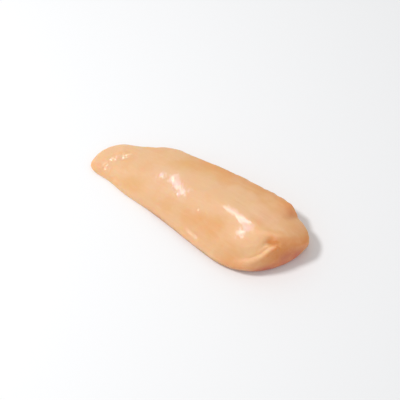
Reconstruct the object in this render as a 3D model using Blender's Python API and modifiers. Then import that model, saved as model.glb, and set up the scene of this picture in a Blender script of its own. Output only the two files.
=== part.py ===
"""A raw chicken breast fillet, skinned and boned, lying with its smooth side up.

It is one whole muscle, so it is one closed solid. The thick shoulder end is at +X, the thin tail at -X, and
+Y is the straighter of its two long sides. The underside is flat where the soft meat lies on the table, and a
fold of meat is tucked against the shoulder end. The sizes below are in millimetres, and the finished solid is
in metres.
"""

import math

import bmesh
import bpy
from mathutils import Vector
from mathutils.geometry import intersect_point_line

MM = 0.001

# The driving dimensions of the finished fillet.
LENGTH = 190
WIDTH = 73
THICKNESS = 31

# The two tips: how far each is to the side of the middle line, and how high above the table.
TAIL_TIP_SIDE = -8
TAIL_TIP_HEIGHT = 4
SHOULDER_TIP_SIDE = 14
SHOULDER_TIP_HEIGHT = 12

# The outline in plan, the crown's height and the crown's line: pairs of a share of the length from the tail
# and a share of the width or thickness. A smooth curve runs through each. The ends are rounded afterwards.
NEAR_EDGE = (
    (0, -0.23), (0.1, -0.22), (0.2, -0.28), (0.33, -0.32), (0.45, -0.375), (0.6, -0.455), (0.75, -0.52),
    (0.87, -0.555), (1, -0.555),
)
FAR_EDGE = (
    (0, 0.24), (0.12, 0.3), (0.2, 0.42), (0.28, 0.51), (0.65, 0.53), (0.84, 0.53), (0.92, 0.49), (1, 0.49),
)
CROWN_HEIGHT = ((0, 0.29), (0.13, 0.37), (0.3, 0.56), (0.5, 0.76), (0.7, 0.92), (0.85, 0.97), (1, 0.94))
CROWN_LINE = ((0, 0), (0.35, 0.02), (0.6, 0.04), (0.73, -0.03), (0.83, -0.09), (1, -0.06))

# How far from its tip each side of each end starts to round off, and the power of the rounding: 0.5 makes it
# elliptical and more makes it slanting.
TAIL_ROUNDING = {"far": (18, 0.4), "near": (12, 0.4), "top": (18, 0.5), "under": (6, 0.5)}
SHOULDER_ROUNDING = {"far": (47, 0.55), "near": (60, 0.64), "top": (26, 0.5), "under": (10, 0.5)}

# The section: the height at which each side is widest as a share of the crown's, and how far it would reach
# below the table if it weren't pressed flat. The powers shape its quarters: 1 makes one elliptical, less makes
# it square and more makes it slope straight from the crown. The upper near one changes along the length.
NEAR_LIP_SHARE = 0.22
FAR_LIP_SHARE = 0.45
UNDER_REACH = 1.5
NEAR_TOP_POWER = ((0, 1.1), (0.35, 1.35), (0.52, 1.6), (0.75, 1.55), (1, 1.5))
FAR_TOP_POWER = 0.88
UNDER_SIDE_POWER = 0.9
UNDER_POWER = 0.5

# The cage that the Subdivision Surface smooths, and how near the fold the meat is divided again.
SEGMENTS_ROUND = 32
RINGS_ALONG = 40
FOLD_CENTRE = Vector((72, -17, 23))
FOLD_REACH = 24

# The relief, as strokes that raise or press in the skin: how far each reaches to its sides, and its path of
# points (along, across, height), the height being how far the skin rises there.
CREST = (8, ((12, 3, 0), (28, 1, 0.6), (46, -3, 1), (62, -7, 1), (74, -7, 0)))
SWELL_BELOW_CREST = (7, ((44, -17, 0), (53, -16, 0.5), (60, -15, 0)))
SWELL_TOWARDS_TAIL = (9, ((-32, 0, 0), (-20, -3, 0.8), (-8, -7, 0)))
EDGE_OVER_FOLD = (5, ((58, -11, 0), (68, -9, 0.8), (77, -4, 1.1), (84, 3, 0.6), (89, 12, 0)))
POCKET_OF_FOLD = (3.5, ((67, -12.5, 0), (72, -11.5, -0.9), (76, -9.5, -1.4)))
VALLEY_OF_FOLD = (4, ((76, -11, -0.6), (73.5, -14, -1.4), (71, -18.5, -1.6), (65, -24, -1.2), (54, -29, 0)))
RIM_OF_FLAP = (4, (
    (79.5, -7, 0), (78.5, -10, 1.2), (77, -13.5, 1.8), (75, -18, 2.2), (70.5, -25.5, 2.2), (62, -31.5, 1.6),
    (52, -35, 0),
))
FAR_CORNER = (6, ((58, 33, 0), (67, 31, 1), (71, 28, 0)))
FAR_CREASE = (5, ((70, 10, 0), (74, 18, -1), (77, 25, -1.6), (80, 31, -1.6)))
FORM_STROKES = (CREST, SWELL_BELOW_CREST, SWELL_TOWARDS_TAIL)
FOLD_STROKES = (EDGE_OVER_FOLD, VALLEY_OF_FOLD, POCKET_OF_FOLD, RIM_OF_FLAP)
FAR_STROKES = (FAR_CORNER, FAR_CREASE)


def clear_scene():
    for thing in list(bpy.data.objects):
        bpy.data.objects.remove(thing, do_unlink=True)


def curve_value(pairs, place):
    """The value at place of a smooth curve through (place, value) pairs."""
    index = 0
    while index < len(pairs) - 2 and place > pairs[index + 1][0]:
        index += 1
    before = pairs[max(index - 1, 0)]
    start, end = pairs[index], pairs[index + 1]
    after = pairs[min(index + 2, len(pairs) - 1)]
    span = end[0] - start[0]
    t = (place - start[0]) / span
    slope_in = (end[1] - before[1]) / (end[0] - before[0]) * span
    slope_out = (after[1] - start[1]) / (after[0] - start[0]) * span
    return (
        start[1] * (2 * t**3 - 3 * t**2 + 1)
        + slope_in * (t**3 - 2 * t**2 + t)
        + end[1] * (3 * t**2 - 2 * t**3)
        + slope_out * (t**3 - t**2)
    )


def walk_to_place(share):
    """The distance from the tail's tip at a share of the walk along the outline to the other tip."""
    tail_cap = TAIL_ROUNDING["top"][0]
    shoulder_cap = SHOULDER_ROUNDING["top"][0]
    tail_walk = tail_cap * math.pi / 2
    shoulder_walk = shoulder_cap * math.pi / 2
    straight = LENGTH - tail_cap - shoulder_cap
    walked = share * (tail_walk + straight + shoulder_walk)
    if walked < tail_walk:
        return tail_cap * (1 - math.cos(walked / tail_cap))
    if walked < tail_walk + straight:
        return tail_cap + walked - tail_walk
    left = tail_walk + straight + shoulder_walk - walked
    return LENGTH - shoulder_cap * (1 - math.cos(left / shoulder_cap))


def rounding(place, side):
    """How much of the full section is left on one side near the tips, where it is rounded off."""
    tail_start, tail_power = TAIL_ROUNDING[side]
    shoulder_start, shoulder_power = SHOULDER_ROUNDING[side]
    tail = min(place / tail_start, 1)
    shoulder = min((LENGTH - place) / shoulder_start, 1)
    return (tail * (2 - tail)) ** tail_power * (shoulder * (2 - shoulder)) ** shoulder_power


def signed_power(value, exponent):
    return math.copysign(abs(value) ** exponent, value)


def skin_point(place, turn):
    """The point of the skin at a place along the length and a turn round the section from the far side."""
    share = place / LENGTH
    spine_side = TAIL_TIP_SIDE + (SHOULDER_TIP_SIDE - TAIL_TIP_SIDE) * share
    spine_height = TAIL_TIP_HEIGHT + (SHOULDER_TIP_HEIGHT - TAIL_TIP_HEIGHT) * share
    across, up = math.cos(turn), math.sin(turn)

    edge = FAR_EDGE if across > 0 else NEAR_EDGE
    side = "far" if across > 0 else "near"
    reach = abs(curve_value(edge, share) * WIDTH - spine_side) * rounding(place, side)

    crown = curve_value(CROWN_HEIGHT, share) * THICKNESS
    lip_share = NEAR_LIP_SHARE + (FAR_LIP_SHARE - NEAR_LIP_SHARE) * (across + 1) / 2
    lip = crown * lip_share
    widest = spine_height + (lip - spine_height) * rounding(place, "top")
    if up > 0:
        side_power = FAR_TOP_POWER if across > 0 else curve_value(NEAR_TOP_POWER, share)
        height = widest + (crown - lip) * up**side_power * rounding(place, "top")
    else:
        side_power = UNDER_SIDE_POWER
        height = widest - UNDER_REACH * lip * abs(up) ** UNDER_POWER * rounding(place, "under")

    shift = (curve_value(CROWN_LINE, share) * WIDTH - spine_side) * max(up, 0) ** 2 * rounding(place, "top")
    sideways = spine_side + reach * signed_power(across, side_power) + shift
    return Vector((place - LENGTH / 2, sideways, height))


def add_cage():
    """A UV sphere with its poles at the two tips, drawn out into the fillet's plain form."""
    mesh = bpy.data.meshes.new("chicken_breast")
    cage = bmesh.new()
    bmesh.ops.create_uvsphere(cage, u_segments=SEGMENTS_ROUND, v_segments=RINGS_ALONG, radius=1)
    for vertex in cage.verts:
        away, aside, along = vertex.co
        share = math.acos(max(-1, min(1, -along))) / math.pi
        vertex.co = skin_point(walk_to_place(share), math.atan2(aside, away))
    bmesh.ops.recalc_face_normals(cage, faces=cage.faces)
    cage.to_mesh(mesh)
    cage.free()
    fillet = bpy.data.objects.new("chicken_breast", mesh)
    collection = bpy.data.collections.new("raw_chicken_breast")
    bpy.context.scene.collection.children.link(collection)
    collection.objects.link(fillet)
    return fillet


def smooth_cage(fillet):
    """Rounds the cage with a Subdivision Surface and applies it."""
    subdivision = fillet.modifiers.new("Soft form", "SUBSURF")
    subdivision.levels = 1
    subdivision.render_levels = 1
    graph = bpy.context.evaluated_depsgraph_get()
    smooth = bpy.data.meshes.new_from_object(fillet.evaluated_get(graph))
    fillet.modifiers.remove(subdivision)
    cage = fillet.data
    fillet.data = smooth
    bpy.data.meshes.remove(cage)
    smooth.name = "chicken_breast"


def divide_near_fold(fillet):
    """Divides the faces round the fold once more, so that its valley and rim have enough points."""
    mesh = bmesh.new()
    mesh.from_mesh(fillet.data)
    edges = [edge for edge in mesh.edges if all((v.co - FOLD_CENTRE).length < FOLD_REACH for v in edge.verts)]
    bmesh.ops.subdivide_edges(mesh, edges=edges, cuts=1, use_grid_fill=True)
    for _ in range(2):
        near = [vertex for vertex in mesh.verts if (vertex.co - FOLD_CENTRE).length < FOLD_REACH + 3]
        bmesh.ops.smooth_vert(mesh, verts=near, factor=0.5, use_axis_x=True, use_axis_y=True, use_axis_z=True)
    mesh.to_mesh(fillet.data)
    mesh.free()


def stroke_height(point, reach, path):
    """How far a stroke raises the skin at a point in plan. It fades to nothing at its reach."""
    nearest, height = math.inf, 0
    for start, end in zip(path, path[1:]):
        start_place, end_place = Vector(start[:2]), Vector(end[:2])
        share = intersect_point_line(point, start_place, end_place)[1]
        share = max(0, min(1, share))
        distance = (start_place.lerp(end_place, share) - point).length
        if distance < nearest:
            nearest = distance
            height = start[2] + (end[2] - start[2]) * share
    inside = max(0, 1 - (nearest / reach) ** 2)
    return height * inside**2


def add_relief(fillet):
    """Moves the skin along its normals under every stroke, and less so where it turns to face down."""
    mesh = bmesh.new()
    mesh.from_mesh(fillet.data)
    for reach, path in FORM_STROKES + FOLD_STROKES + FAR_STROKES:
        mesh.normal_update()
        for vertex in mesh.verts:
            facing_up = max(0, min(1, 0.5 + 2 * vertex.normal.z))
            if facing_up > 0:
                vertex.co += vertex.normal * facing_up * stroke_height(vertex.co.xy, reach, path)
    mesh.to_mesh(fillet.data)
    mesh.free()


def press_flat(fillet):
    """The weight of the meat presses everything that would be below the table into one flat foot."""
    for vertex in fillet.data.vertices:
        vertex.co.z = max(vertex.co.z, 0)


def fit_to_size(fillet):
    """Brings the form to its exact size in metres, with the origin in the middle of its underside."""
    places = [vertex.co for vertex in fillet.data.vertices]
    low = Vector(min(place[axis] for place in places) for axis in range(3))
    high = Vector(max(place[axis] for place in places) for axis in range(3))
    middle = Vector(((low.x + high.x) / 2, (low.y + high.y) / 2, 0))
    scale = Vector((LENGTH, WIDTH, THICKNESS)) * MM
    for vertex in fillet.data.vertices:
        share = Vector((vertex.co - middle)[axis] / (high - low)[axis] for axis in range(3))
        vertex.co = share * scale


def add_material(fillet):
    material = bpy.data.materials.new("raw_meat")
    material.use_nodes = True
    shader = material.node_tree.nodes["Principled BSDF"]
    shader.inputs["Base Color"].default_value = (0.83, 0.5, 0.31, 1)
    shader.inputs["Roughness"].default_value = 0.35
    shader.inputs["Metallic"].default_value = 0
    fillet.data.materials.append(material)
    fillet.data.shade_smooth()


def main():
    clear_scene()
    fillet = add_cage()
    smooth_cage(fillet)
    divide_near_fold(fillet)
    add_relief(fillet)
    press_flat(fillet)
    fit_to_size(fillet)
    add_material(fillet)


main()
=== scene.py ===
import math

import bpy
import numpy as np
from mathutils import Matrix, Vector


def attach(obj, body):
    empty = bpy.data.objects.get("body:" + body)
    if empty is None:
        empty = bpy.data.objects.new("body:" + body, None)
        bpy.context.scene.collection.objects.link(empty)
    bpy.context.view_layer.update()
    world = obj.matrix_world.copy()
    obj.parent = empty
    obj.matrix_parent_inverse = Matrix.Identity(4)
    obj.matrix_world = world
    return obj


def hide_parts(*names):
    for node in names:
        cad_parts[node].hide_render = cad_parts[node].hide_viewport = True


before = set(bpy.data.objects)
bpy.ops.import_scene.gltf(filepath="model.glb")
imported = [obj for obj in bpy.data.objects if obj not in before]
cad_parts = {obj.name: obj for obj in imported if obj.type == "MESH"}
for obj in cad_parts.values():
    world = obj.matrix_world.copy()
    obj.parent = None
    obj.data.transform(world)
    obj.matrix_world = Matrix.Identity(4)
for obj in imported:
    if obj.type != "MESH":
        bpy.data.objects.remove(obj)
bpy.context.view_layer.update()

# THE FILLET'S BODY
# One whole breast muscle, skinned and boned. It is soft, so it starts from the plain solid, its facets are
# joined back into squares and rounded, and the folds and swells of the meat are then drawn on it.

MM = 0.001
MERGE_GAP = 0.01 * MM
FLAT_ENOUGH = math.radians(40)
SQUARE_ENOUGH = math.radians(60)
ROUNDING_LEVELS = 2


def take_copy(node, name):
    """A new piece with a merged copy of a plain solid's mesh, alone selected and active."""
    bpy.ops.object.select_all(action="DESELECT")
    piece = bpy.data.objects.new(name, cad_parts[node].data.copy())
    piece.data.materials.clear()
    bpy.context.scene.collection.objects.link(piece)
    bpy.context.view_layer.objects.active = piece
    piece.select_set(True)
    bpy.ops.object.mode_set(mode="EDIT")
    bpy.ops.mesh.select_all(action="SELECT")
    bpy.ops.mesh.remove_doubles(threshold=MERGE_GAP)
    bpy.ops.mesh.tris_convert_to_quads(face_threshold=FLAT_ENOUGH, shape_threshold=SQUARE_ENOUGH)
    bpy.ops.object.mode_set(mode="OBJECT")
    return piece


def apply_all(piece):
    """Applies every modifier of a piece, first to last."""
    bpy.context.view_layer.objects.active = piece
    for modifier in list(piece.modifiers):
        bpy.ops.object.modifier_apply(modifier=modifier.name)


fillet = take_copy("chicken_breast", "fillet_meat")
rounded = fillet.modifiers.new("Rounded", "SUBSURF")
rounded.levels = ROUNDING_LEVELS
rounded.render_levels = ROUNDING_LEVELS
apply_all(fillet)
bpy.ops.object.shade_smooth()

# SWELLS, FIBRES AND FOLDS
# The meat is a sheaf of long fibres under a thin clear membrane. It sags in soft swells, its fibres run from
# the thick end to the tail, and at the thick end the edge of the muscle is tucked under in a fold. All sizes
# and places here are in millimetres: along towards the thick end, across towards the far side, and up.

# seen from above, the fibres and the puckers across them are turned this much
FIBRE_TURN = math.radians(-4)
PUCKER_TURN = math.radians(33)

# a slope takes its level from the skin this close to each point of its path, moves only skin that faces up at
# least this much, and fills only a share of the hollows
LEVEL_REACH = 1.5
FACING_UP = 0.2
FILLED_SHARE = 0.45

WEIGHT_STEPS = 250


def skin_places(piece):
    """Where every vertex is, in millimetres."""
    places = np.empty(len(piece.data.vertices) * 3)
    piece.data.vertices.foreach_get("co", places)
    return places.reshape(-1, 3) / MM


def set_places(piece, places):
    """Moves every vertex to its place in millimetres."""
    piece.data.vertices.foreach_set("co", (places * MM).ravel())
    piece.data.update()


def skin_normals(piece):
    """The way the skin faces at every vertex."""
    normals = np.empty(len(piece.data.vertices) * 3)
    piece.data.vertices.foreach_get("normal", normals)
    return normals.reshape(-1, 3)


def upper_skin(piece):
    """1 where the skin faces up, half of that where it faces sideways, and 0 where it faces down."""
    return np.interp(skin_normals(piece)[:, 2], (-0.25, 0.25), (0, 1))


def off_path(piece, path):
    """Seen in plan: every vertex's offset from the nearest point of a path, and the path's value there."""
    places = skin_places(piece)[:, :2]
    offset = np.full(places.shape, np.inf)
    value = np.zeros(len(places))
    for start, end in zip(path, path[1:]):
        step = np.subtract(end[:2], start[:2])
        share = np.clip((places - start[:2]) @ step / (step @ step), 0, 1)
        gap = places - start[:2] - share[:, None] * step
        closer = np.linalg.norm(gap, axis=1) < np.linalg.norm(offset, axis=1)
        offset[closer] = gap[closer]
        value[closer] = (start[2] + (end[2] - start[2]) * share)[closer]
    return offset, value


def along_path(piece, path, reach):
    """A path's own strength, from its (along, across, strength) points, fading out at the reach."""
    offset, strength = off_path(piece, path)
    gap = np.linalg.norm(offset, axis=1)
    return strength * np.clip(1 - (gap / reach) ** 2, 0, 1) ** 2


def in_patch(piece, centre, reach):
    """1 at a patch's centre, fading to 0 at its reach along, across and up."""
    gap = np.linalg.norm((skin_places(piece) - centre) / reach, axis=1)
    return np.clip(1 - gap**2, 0, 1) ** 2


def set_weights(piece, name, weights):
    """A vertex group with these weights, made anew."""
    old = piece.vertex_groups.get(name)
    if old:
        piece.vertex_groups.remove(old)
    group = piece.vertex_groups.new(name=name)
    levels = np.round(np.clip(weights, 0, 1) * WEIGHT_STEPS).astype(int)
    for level in np.unique(levels):
        if level:
            group.add(np.nonzero(levels == level)[0].tolist(), level / WEIGHT_STEPS, "REPLACE")
    return group


def raise_skin(piece, weights, height):
    """Pushes the skin out by a height, or in if it is negative, as the weights say."""
    group = set_weights(piece, "raised", weights)
    push = piece.modifiers.new("Raised", "DISPLACE")
    push.vertex_group = group.name
    push.mid_level = 0
    push.strength = height * MM
    apply_all(piece)


def raise_along(piece, path, reach, height):
    """Raises the upper skin along a path, or presses it in."""
    raise_skin(piece, upper_skin(piece) * along_path(piece, path, reach), height)


def smooth_skin(piece, weights, times):
    """Evens out the skin as the weights say, a little each time."""
    group = set_weights(piece, "evened", weights)
    even = piece.modifiers.new("Evened", "SMOOTH")
    even.vertex_group = group.name
    even.factor = 1
    even.iterations = times
    apply_all(piece)


def roughen_skin(piece, weights, height, grain, stretch=(1, 1, 1), turn=0, depth=1):
    """Pushes the skin in and out by a cloudy pattern, with grains of a size that stretch draws out."""
    group = set_weights(piece, "roughened", weights)
    clouds = bpy.data.textures.new("skin_grain", "CLOUDS")
    clouds.noise_scale = 1
    clouds.noise_depth = depth
    bpy.ops.object.select_all(action="DESELECT")
    bpy.ops.object.empty_add(location=(0, 0, 0), rotation=(0, 0, turn))
    guide = bpy.context.active_object
    guide.scale = Vector(stretch) * grain * MM
    bpy.context.view_layer.update()
    push = piece.modifiers.new("Roughened", "DISPLACE")
    push.texture = clouds
    push.texture_coords = "OBJECT"
    push.texture_coords_object = guide
    push.vertex_group = group.name
    push.mid_level = 0.5
    push.strength = height * MM
    apply_all(piece)
    bpy.data.objects.remove(guide)
    bpy.data.textures.remove(clouds)


def lay_slope(piece, path, reach, steepness):
    """Lays the skin along a path in a flat slope that falls to the near side, as steep as given."""
    places = skin_places(piece)
    facing_up = skin_normals(piece)[:, 2] > FACING_UP
    level_path = []
    for point in path:
        close = facing_up & (np.hypot(*(places[:, :2] - point[:2]).T) < LEVEL_REACH)
        level_path.append((point[0], point[1], places[close, 2].mean()))
    offset, level = off_path(piece, level_path)
    push = level + steepness * offset[:, 1] - places[:, 2]
    push[push > 0] *= FILLED_SHARE
    places[:, 2] += push * along_path(piece, path, reach) * facing_up
    set_places(piece, places)


# the fold: its edge and the lobe below run smoothly on, the crease opens into a small pocket under the edge,
# and the flap's pale rim stands up over the lobe with a thin gutter beside it
FOLD_PATCH = ((71, -15, 22), (24, 20, 22))
LOBE = ((76, -12, 0), (74, -14, 0.8), (71.5, -17.5, 1), (67.5, -22, 1), (60, -27, 0))
CREASE = ((70, -15, 0), (75, -12.8, 0.8), (79, -10.6, 1), (80.7, -9.4, 0.7), (82.5, -8, 0))
GUTTER = (
    (79, -12, 0.5), (76.3, -14.8, 1), (74.2, -18.2, 1), (71.6, -21.6, 0.8), (66, -26.5, 0.6),
    (58, -30.6, 0),
)
RIM = (
    (83, -11, 0), (80.2, -12.2, 0.9), (78, -16.3, 1), (76.3, -19.7, 1), (74, -22.8, 0.9), (68.5, -28, 0.7),
    (62, -31.7, 0.6), (54, -35.5, 0),
)
fold = upper_skin(fillet) * in_patch(fillet, *FOLD_PATCH)
smooth_skin(fillet, np.sqrt(fold), times=60)
raise_along(fillet, LOBE, reach=5, height=0.7)
raise_along(fillet, CREASE, reach=2.4, height=-1.4)
raise_along(fillet, GUTTER, reach=2, height=-0.7)
raise_along(fillet, RIM, reach=2.8, height=1.3)

# the soft swells, the long bundles of fibres, and the uneven sides and far edge
FAR_EDGE_PATCH = ((45, 28, 18), (62, 18, 20))
upper_side = upper_skin(fillet)
roughen_skin(fillet, upper_side, height=1.1, grain=22)
roughen_skin(fillet, upper_side, height=0.3, grain=7, stretch=(3.5, 1, 1), turn=FIBRE_TURN)
sides = upper_side * (1 - skin_normals(fillet)[:, 2] ** 2)
roughen_skin(fillet, sides, height=1.2, grain=8, depth=2)
far_edge = sides * in_patch(fillet, *FAR_EDGE_PATCH)
roughen_skin(fillet, far_edge, height=3.2, grain=8)

# where the membrane is drawn tight over the meat, the skin lies in flat slopes that fall to the near edge
TIGHT_MIDDLE = ((-29, 6, 0), (-24, 3.5, 1), (-16.5, -2, 1), (-9, -5.5, 1), (-4, -8, 0))
TIGHT_BY_FOLD = ((44.5, -18.5, 0), (49, -17, 0.9), (54, -14.5, 1), (58, -12.5, 0))
TIGHT_NEAR = ((6, -26, 0), (12, -28, 1), (18, -29.5, 1), (25, -31, 0))
lay_slope(fillet, TIGHT_MIDDLE, reach=12, steepness=0.35)
lay_slope(fillet, TIGHT_BY_FOLD, reach=7, steepness=0.42)
lay_slope(fillet, TIGHT_NEAR, reach=3, steepness=0.48)

# the thin tail is turned towards the near edge
TAIL_FAR = ((-84, 4, 0), (-77, 9, 0.9), (-68, 14, 1), (-58, 19, 0))
TAIL_NEAR = ((-86, -12, 0), (-76, -11, 1), (-66, -9, 1), (-52, -8, 0))
raise_along(fillet, TAIL_FAR, reach=13, height=1.6)
raise_along(fillet, TAIL_NEAR, reach=12, height=-1)

# the puckers in the membrane: on the thin tail, across the middle, and beside the fold
TAIL_PATCH = ((-74, 0, 9), (26, 22, 12))
TAIL_LINE = ((-86, -12, 0), (-82, -11, 1), (-80, -3, 1), (-74, 3, 1), (-68, 9, 0.8), (-64, 13, 0))
MIDDLE_FRINGE = ((-22, -5, 0), (-17, -8, 1), (-12, -9.5, 1), (-8, -10, 0))
tail_puckers = np.maximum(0.4 * in_patch(fillet, *TAIL_PATCH), along_path(fillet, TAIL_LINE, reach=6))
lay_slope(fillet, TAIL_LINE, reach=7, steepness=0.43)
roughen_skin(
    fillet, upper_skin(fillet) * tail_puckers, height=0.8, grain=2.6, stretch=(1, 1.5, 1),
    turn=PUCKER_TURN, depth=2,
)
fingers = np.maximum(
    0.3 * along_path(fillet, TIGHT_MIDDLE, reach=11) + along_path(fillet, MIDDLE_FRINGE, reach=5),
    0.4 * along_path(fillet, TIGHT_BY_FOLD, reach=8),
)
roughen_skin(fillet, upper_skin(fillet) * fingers, height=0.4, grain=2, stretch=(1, 3, 1), turn=PUCKER_TURN)

# nothing sinks below the table
resting = skin_places(fillet)
resting[:, 2] = np.maximum(resting[:, 2], 0)
set_places(fillet, resting)

# RAW MEAT
# Moist pale flesh under a clear membrane: peach at the tail, warmer and more orange where it is thick, pink
# where blood lies under the skin, and wet where the membrane is tight. The patches are painted on the skin as
# layers from 0 to 1, and the material mixes its colours and its shine by them. Some layers also hold painted
# shade on the sides turned from the lamp and along the near foot, painted light on the thick end, and painted
# sheen around the highlights.

PALE_FLESH = (0.83, 0.53, 0.3, 1)
CREAM_FLESH = (0.78, 0.495, 0.285, 1)
WARM_FLESH = (0.745, 0.43, 0.195, 1)
# the deep orange also stands for painted shade on the sides turned from the lamp
DEEP_FLESH = (0.76, 0.32, 0.105, 1)
# the blood red also stands for painted shade at the bottom of the thick end and along the near foot
BLOOD = (0.58, 0.15, 0.105, 1)
# the membrane's pale pink, also used as painted sheen around the highlights
MEMBRANE_AND_SHEEN = (0.87, 0.61, 0.5, 1)
FAT = (0.93, 0.72, 0.5, 1)
# the brown is a painted shadow along the near side's lowest edge
FOOT_SHADE_BROWN = (0.47, 0.24, 0.15, 1)


def paint(piece, name, weights):
    """A painted layer on the skin, from 0 to 1, that the material reads."""
    layer = piece.data.attributes.new(name, "FLOAT", "POINT")
    layer.data.foreach_set("value", np.clip(weights, 0, 1).astype(np.float32))


def rise(values, low, high):
    """0 up to low, 1 from high, and smooth between them."""
    share = np.clip((values - low) / (high - low), 0, 1)
    return share * share * (3 - 2 * share)


def fall(values, low, high):
    """1 up to low, 0 from high, and smooth between them."""
    return 1 - rise(values, low, high)


def in_patches(piece, rows):
    """Patches together, from rows of strength, centre and reach."""
    return sum(strength * in_patch(piece, centre, reach) for strength, centre, reach in rows)


def along_paths(piece, rows):
    """Paths together, from rows of strength, path and reach."""
    return sum(strength * along_path(piece, path, reach) for strength, path, reach in rows)


along, across, up = skin_places(fillet).T
normals = skin_normals(fillet)
under = fall(normals[:, 2], -0.9, -0.3)
lit_side = rise(normals[:, 2], 0, 0.3)

# the thick end and the far side are deeper in colour, partly the meat's own tone and partly painted shade
# where these sides turn away from the lamp
TO_THICK_END = (0.85, -0.3, -0.1)
TO_FAR_SIDE = (0.2, 0.95, 0)
end_tone_and_shade = rise(normals @ TO_THICK_END, 0, 0.75) * rise(along, 64, 82)
facing_far = normals @ TO_FAR_SIDE
far_tone_and_shade = rise(facing_far, 0, 0.6) * (1 - 0.5 * rise(facing_far, 0.6, 0.95))
far_tone_and_shade *= rise(along, -60, 10) * (1 - 0.5 * rise(along, 50, 90) * rise(up, 12, 20))

# where the near side meets the table the meat is painted darker and redder, partly blood gathered there and
# partly painted shade under the edge, and its lowest edge is painted brown as a painted shadow
foot_blood_and_shade = fall(up, 1, 5) * rise(along, -50, -10) * (1 - 0.6 * rise(across, 0, 20)) * (1 - under)
shaded_foot_edge = fall(up, 3, 7) * fall(across, -15, 0) * (1 - under)

# warmer patches; the long row on the far side is partly painted shade, and the two rows that take warmth away
# lighten the top of the thick end as painted light
WARM_PATCHES = (
    (0.9, (-50, -14, 9), (19, 10, 12)),
    (0.6, (-2, -18, 15), (28, 12, 16)),
    (0.75, (28, -15, 20), (26, 12, 16)),
    (0.2, (72, -8, 28), (18, 14, 16)),
    (0.5, (46, -26, 16), (36, 14, 16)),
    (-0.2, (56, 4, 29), (18, 12, 12)),
    (-0.3, (73, 8, 27), (13, 10, 8)),
    (0.6, (-15, 22, 18), (50, 18, 16)),
)
# deeper orange patches, partly the meat's own tone and partly painted shade in the fold's pocket and on the
# flap and far corner that turn from the lamp
DEEP_PATCHES = (
    (0.3, (20, -19, 18), (28, 12, 14)),
    (0.6, (62, -34, 8), (28, 12, 10)),
    (0.55, (68, 27, 20), (14, 11, 14)),
    (1, (77, -11, 26), (7.5, 5, 7)),
    (0.3, (83, -10, 18), (12, 10, 10)),
)
# the row at the bottom of the thick end is partly painted shade, where that end turns from the lamp
BLOOD_AND_SHADE_PATCHES = (
    (1, (90, -6, 7), (20, 26, 16)),
    (0.9, (76, -24, 4), (20, 14, 9)),
    (0.25, (73, 20, 22), (9, 12, 12)),
)
FAT_SPOT = ((80, 27, 14), (4, 4, 5))
# the thick end is painted paler than the tail and the middle, as painted light that lifts its darker shading
paint(fillet, "cream", fall(along, 25, 70))
# the warm layer on the far side is partly painted shade
paint(fillet, "warm", in_patches(fillet, WARM_PATCHES) + 0.7 * far_tone_and_shade - 0.15 * rise(along, 50, 70))
# the deep layer is partly painted shade: on the sides turned from the lamp, in the fold's pocket and along
# the near foot
paint(fillet, "deep", (
    in_patches(fillet, DEEP_PATCHES)
    + 0.85 * end_tone_and_shade
    + 0.7 * far_tone_and_shade
    + 0.6 * foot_blood_and_shade
))
# blood here is partly painted shade: at the bottom of the thick end and along the near foot
paint(fillet, "blood", (
    in_patches(fillet, BLOOD_AND_SHADE_PATCHES)
    + 0.14 * along_path(fillet, RIM, reach=2.6)
    + 0.8 * foot_blood_and_shade
    + 0.35 * under
))
paint(fillet, "fat", 0.12 * along_path(fillet, RIM, reach=1.8) + 0.15 * in_patch(fillet, *FAT_SPOT))
# a painted shadow in brown along the near side's lowest edge
paint(fillet, "foot", 0.8 * shaded_foot_edge * rise(along, -38, -18) * (1 - 0.5 * rise(along, 58, 78)))
paint(fillet, "puckered", tail_puckers + 0.6 * fingers)

# the film is clear and shines where the membrane is tight, and in and around those places the meat is painted
# a milky pale pink, partly the membrane's own colour and partly painted sheen that tints and widens the
# highlights
TIGHT_CREST = (
    (24, -1, 0), (29, -2.2, 0.6), (38, -4.2, 0.8), (48, -7, 1), (53, -8.8, 1), (57, -9.8, 0.9),
    (61.5, -10.6, 0),
)
TIGHT_SPOT = ((-38, 1.5, 0), (-33.5, 0, 1), (-29, -1.5, 0))
TIGHT_TICK = ((8.4, -10.4, 0), (9, -11.4, 1), (10.2, -13.2, 1), (10.8, -14.2, 0))
CLEAR_PATHS = (
    (0.85, TIGHT_CREST, 5.5),
    (0.6, TIGHT_MIDDLE, 9),
    (0.6, TIGHT_SPOT, 8),
    (0.5, TIGHT_BY_FOLD, 9),
    (0.6, TIGHT_NEAR, 3),
    (0.45, TIGHT_TICK, 1.8),
    (0.62, TAIL_LINE, 8),
)
MILKY_PATHS = (
    (0.65, TIGHT_CREST, 7),
    (0.7, TIGHT_MIDDLE, 9),
    (0.85, TIGHT_SPOT, 8),
    (0.8, TIGHT_BY_FOLD, 7),
)
# of these patches, the one on the thick end is painted light over a shaded band beside the crest
MILKY_PATCHES = (
    (0.7, (-30, 0, 18), (34, 17, 14)),
    (0.7, (58, 5, 28), (26, 13, 12)),
)
milky_above = along_paths(fillet, MILKY_PATHS) + in_patches(fillet, MILKY_PATCHES)
paint(fillet, "film", lit_side * along_paths(fillet, CLEAR_PATHS))
paint(fillet, "milky", lit_side * milky_above + 0.8 * under)

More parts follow.
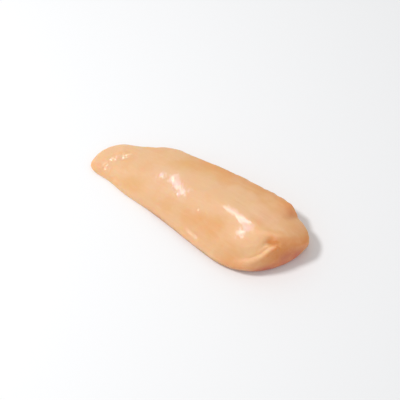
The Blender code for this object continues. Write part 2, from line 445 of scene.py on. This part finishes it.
# the film bridges the meat's small hollows, so it lies steeper or flatter than the meat: rows of path, reach,
# added slope along and across, and how much that slope grows for each millimetre off the path
MIDDLE_TOP = ((-25, 4, 1), (-20, 1, 1))
TAIL_MIDDLE = ((-81, -3, 1), (-79, -1, 1))
TAIL_TOP = ((-72, 5, 1), (-66, 11, 1))
LEANING_FILM = (
    (TIGHT_CREST, 6, (-0.03, 0.15), 0.08),
    (TIGHT_MIDDLE, 14, (0, 0.08), 0),
    (MIDDLE_TOP, 8, (-0.12, 0.12), 0),
    (TIGHT_SPOT, 9, (-0.06, 0.25), 0),
    (TIGHT_BY_FOLD, 8, (-0.03, -0.05), 0.05),
    (TIGHT_NEAR, 6, (-0.06, -0.18), 0),
    (TIGHT_TICK, 5, (-0.1, -0.13), 0),
    (TAIL_MIDDLE, 8, (0.1, 0.2), 0),
    (TAIL_TOP, 8, (0.1, 0.27), 0),
)


def lean_film(piece, path, reach, slope, hollow):
    """How much steeper than the meat the film along a path lies, as slopes along and across."""
    offset = off_path(piece, path)[0]
    gap = np.linalg.norm(offset, axis=1)
    return rise(reach - gap, 0, reach / 2)[:, None] * (slope + hollow * offset)


film_slopes = sum(lean_film(fillet, *row) for row in LEANING_FILM)
film_lean = np.pad(-film_slopes, ((0, 0), (0, 1)))
lean_layer = fillet.data.attributes.new("film_lean", "FLOAT_VECTOR", "POINT")
lean_layer.data.foreach_set("vector", film_lean.astype(np.float32).ravel())

meat = bpy.data.materials.new("raw_meat")
meat.use_nodes = True
meat_nodes = meat.node_tree.nodes
meat_shader = meat_nodes["Principled BSDF"]
meat_place = meat_nodes.new("ShaderNodeTexCoord")

# which of a mixing node's sockets are for colours
FIRST_COLOUR = 6
SECOND_COLOUR = 7
MIXED_COLOUR = 2


def add_node(kind, **settings):
    """A node in the meat's material, with its settings."""
    node = meat_nodes.new(kind)
    for name, value in settings.items():
        setattr(node, name, value)
    return node


def wire(source, target):
    """Joins an output to an input."""
    meat.node_tree.links.new(source, target)


def fill_socket(socket, value):
    """Sets an input to a number or a colour, or joins it to the output that gives one."""
    if isinstance(value, (int, float, tuple)):
        socket.default_value = value
    else:
        wire(value, socket)


def painted(name, output="Fac"):
    """What a painted layer holds."""
    return add_node("ShaderNodeAttribute", attribute_name=name).outputs[output]


def noise(grain, detail=2, stretch=(1, 1, 1), turn=0, lift=0):
    """A cloudy pattern with grains of a size, drawn out by stretch. A lift takes another part of it."""
    mapping = add_node("ShaderNodeMapping", vector_type="TEXTURE")
    mapping.inputs["Rotation"].default_value = (0, 0, turn)
    mapping.inputs["Scale"].default_value = Vector(stretch) * grain * MM
    mapping.inputs["Location"].default_value = (0, 0, lift * MM)
    wire(meat_place.outputs["Object"], mapping.inputs["Vector"])
    pattern = add_node("ShaderNodeTexNoise")
    pattern.inputs["Scale"].default_value = 1
    pattern.inputs["Detail"].default_value = detail
    wire(mapping.outputs["Vector"], pattern.inputs["Vector"])
    return pattern.outputs["Fac"]


def calculate(operation, first, second, limit):
    """A sum or a product of two values, held between 0 and 1 if there is a limit."""
    node = add_node("ShaderNodeMath", operation=operation, use_clamp=limit)
    fill_socket(node.inputs[0], first)
    fill_socket(node.inputs[1], second)
    return node.outputs["Value"]


def add(first, second, limit=False):
    return calculate("ADD", first, second, limit)


def multiply(first, second, limit=False):
    return calculate("MULTIPLY", first, second, limit)


def fit(value, low, high, to_low=0, to_high=1):
    """A value moved smoothly from one range to another."""
    node = add_node("ShaderNodeMapRange", interpolation_type="SMOOTHSTEP")
    for name, number in (("From Min", low), ("From Max", high), ("To Min", to_low), ("To Max", to_high)):
        node.inputs[name].default_value = number
    wire(value, node.inputs["Value"])
    return node.outputs["Result"]


def mix_colours(share, first, second):
    """The first colour, with a share of the second laid over it."""
    node = add_node("ShaderNodeMix", data_type="RGBA")
    wire(share, node.inputs["Factor"])
    fill_socket(node.inputs[FIRST_COLOUR], first)
    fill_socket(node.inputs[SECOND_COLOUR], second)
    return node.outputs[MIXED_COLOUR]


# the colours are laid one over the other, broken up by mottling, by the fibres and by ragged film
PALE_FIBRE_SHARE = 0.08
mottle = fit(noise(grain=18, detail=3), low=0.35, high=0.65, to_low=-0.2, to_high=0.2)
patchy = fit(noise(grain=9, detail=3, lift=90), low=0.3, high=0.65, to_low=0.55, to_high=1)
flecks = fit(noise(grain=2.5, lift=20), low=0.3, high=0.6)
fibres = noise(grain=1.6, stretch=(9, 1, 1), turn=FIBRE_TURN)
bundles = noise(grain=5, stretch=(5, 1, 1), turn=FIBRE_TURN, lift=40)
tatters = noise(grain=2.2, stretch=(1, 3, 1), turn=PUCKER_TURN)
film = add(painted("film"), fit(tatters, low=0.3, high=0.7, to_low=-0.2, to_high=0.2))
film_haze = fit(film, low=0.2, high=0.6, to_low=0.25, to_high=1)
colour_layers = (
    (add(painted("warm"), mottle, limit=True), WARM_FLESH),
    (add(painted("deep"), multiply(mottle, 0.4), limit=True), DEEP_FLESH),
    (multiply(painted("blood"), patchy), BLOOD),
    (multiply(fit(bundles, low=0.5, high=0.75), PALE_FIBRE_SHARE), FAT),
    (multiply(fit(fibres, low=0.5, high=0.8), PALE_FIBRE_SHARE), FAT),
    (multiply(painted("fat"), flecks, limit=True), FAT),
    # painted sheen as well as the membrane's own colour
    (multiply(painted("milky"), film_haze), MEMBRANE_AND_SHEEN),
    # the brown painted shadow along the near foot
    (multiply(painted("foot"), patchy), FOOT_SHADE_BROWN),
)
colour = mix_colours(painted("cream"), PALE_FLESH, CREAM_FLESH)
for share, layer_colour in colour_layers:
    colour = mix_colours(share, colour, layer_colour)
wire(colour, meat_shader.inputs["Base Color"])

# the fine grain of the meat itself
ripple = noise(grain=2.2, stretch=(1, 1.8, 1))
relief = add(multiply(fibres, 0.5), ripple)
bump = add_node("ShaderNodeBump")
bump.inputs["Strength"].default_value = 1
bump.inputs["Distance"].default_value = 0.12 * MM
wire(relief, bump.inputs["Height"])
wire(bump.outputs["Normal"], meat_shader.inputs["Normal"])

# the film follows that grain only faintly, puckers more, and leans as it is painted
puckers = multiply(noise(grain=1.7, detail=1, stretch=(1, 2.2, 1), turn=PUCKER_TURN), painted("puckered"))
film_bump = add_node("ShaderNodeBump")
film_bump.inputs["Distance"].default_value = 1 * MM
wire(add(multiply(relief, 0.03), multiply(puckers, 0.22)), film_bump.inputs["Height"])
turned_lean = add_node("ShaderNodeVectorTransform", vector_type="VECTOR")
turned_lean.convert_from = "OBJECT"
turned_lean.convert_to = "WORLD"
wire(painted("film_lean", "Vector"), turned_lean.inputs["Vector"])
leaning = add_node("ShaderNodeVectorMath", operation="ADD")
wire(film_bump.outputs["Normal"], leaning.inputs[0])
wire(turned_lean.outputs["Vector"], leaning.inputs[1])
film_normal = add_node("ShaderNodeVectorMath", operation="NORMALIZE")
wire(leaning.outputs["Vector"], film_normal.inputs[0])
wire(film_normal.outputs["Vector"], meat_shader.inputs["Coat Normal"])

# the film's shine fades where it is seen edge on, so that its lean draws no grey line there
facing = add_node("ShaderNodeLayerWeight")
facing.inputs["Blend"].default_value = 0.5
wire(film_normal.outputs["Vector"], facing.inputs["Normal"])
facing_viewer = fit(facing.outputs["Facing"], low=0.5, high=0.8, to_low=1, to_high=0)
film_shine = fit(film, low=0.3, high=0.6, to_low=0.06, to_high=0.85)
wire(multiply(film_shine, facing_viewer), meat_shader.inputs["Coat Weight"])
meat_shader.inputs["Coat IOR"].default_value = 1.36

# puckered film is smoother, and the socket's own value stands for all of the film where only one can be kept
FILM_ROUGHNESS = 0.29
meat_shader.inputs["Coat Roughness"].default_value = FILM_ROUGHNESS
film_roughness = fit(painted("puckered"), low=0.2, high=1, to_low=FILM_ROUGHNESS, to_high=0.2)
wire(film_roughness, meat_shader.inputs["Coat Roughness"])

# light goes a few millimetres into the meat, and under the film the meat is only a little glossy
meat_roughness = fit(noise(grain=9, lift=60), low=0.35, high=0.65, to_low=0.5, to_high=0.62)
wire(meat_roughness, meat_shader.inputs["Roughness"])
meat_shader.inputs["Specular IOR Level"].default_value = 0.2
meat_shader.inputs["Subsurface Weight"].default_value = 1
meat_shader.inputs["Subsurface Radius"].default_value = (1.0, 0.42, 0.2)
meat_shader.inputs["Subsurface Scale"].default_value = 4 * MM
fillet.data.materials.append(meat)

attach(fillet, "root")
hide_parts("chicken_breast")

# FLOOR
# A plain pale floor for the fillet to lie on. It is one flat square of a dull material, far larger than the
# fillet, so that no edge of it shows.

FLOOR_SIZE = 6
FLOOR_COLOUR = (0.89, 0.895, 0.905, 1)

bpy.ops.object.select_all(action="DESELECT")
bpy.ops.mesh.primitive_plane_add(size=FLOOR_SIZE, location=(0, 0, 0))
floor = bpy.context.active_object
floor.name = "floor"
pale = bpy.data.materials.new("pale_floor")
pale.use_nodes = True
pale_shader = pale.node_tree.nodes["Principled BSDF"]
pale_shader.inputs["Base Color"].default_value = FLOOR_COLOUR
pale_shader.inputs["Roughness"].default_value = 0.9
pale_shader.inputs["Specular IOR Level"].default_value = 0.1
floor.data.materials.append(pale)

# LIGHT
# One soft round lamp, high up on the left as the camera sees it, and an even white glow from all round. The
# lamp gives the shadow at the thick end and the bright streaks on the film.

LAMP_DIRECTION = Vector((-0.45, -0.3, 0.855)).normalized()
LAMP_DISTANCE = 1.2
LAMP_SIZE = 0.24
LAMP_POWER = 7.4
GLOW_COLOUR = (1, 1, 1, 1)
GLOW_STRENGTH = 0.63

lamp_data = bpy.data.lights.new("soft_lamp", "AREA")
lamp_data.shape = "DISK"
lamp_data.size = LAMP_SIZE
lamp_data.energy = LAMP_POWER
lamp = bpy.data.objects.new("soft_lamp", lamp_data)
lamp.location = LAMP_DIRECTION * LAMP_DISTANCE
lamp.rotation_euler = LAMP_DIRECTION.to_track_quat("Z", "Y").to_euler()
bpy.context.scene.collection.objects.link(lamp)

glow = bpy.data.worlds.new("even_glow")
glow.use_nodes = True
glow.node_tree.nodes["Background"].inputs["Color"].default_value = GLOW_COLOUR
glow.node_tree.nodes["Background"].inputs["Strength"].default_value = GLOW_STRENGTH
bpy.context.scene.world = glow
bpy.context.scene.view_settings.view_transform = "Standard"

# CAMERA
# It looks down from the front right, with the fillet's tail at the upper left. It stands well back with a
# long lens, as for a shot of small goods, and aims a little past the fillet's middle.

AZIMUTH = math.radians(33.5)
ELEVATION = math.radians(54)
CAMERA_DISTANCE = 1.2
CAMERA_AIM = Vector((-0.002, 0.0082, 0))
LENS = 135.8
SENSOR_WIDTH = 36

camera_data = bpy.data.cameras.new("camera")
camera_data.lens = LENS
camera_data.sensor_width = SENSOR_WIDTH
camera_back = Vector((
    math.sin(AZIMUTH) * math.cos(ELEVATION),
    -math.cos(AZIMUTH) * math.cos(ELEVATION),
    math.sin(ELEVATION),
))
camera = bpy.data.objects.new("camera", camera_data)
camera.location = CAMERA_AIM + camera_back * CAMERA_DISTANCE
camera.rotation_euler = camera_back.to_track_quat("Z", "Y").to_euler()
bpy.context.scene.collection.objects.link(camera)
bpy.context.scene.camera = camera
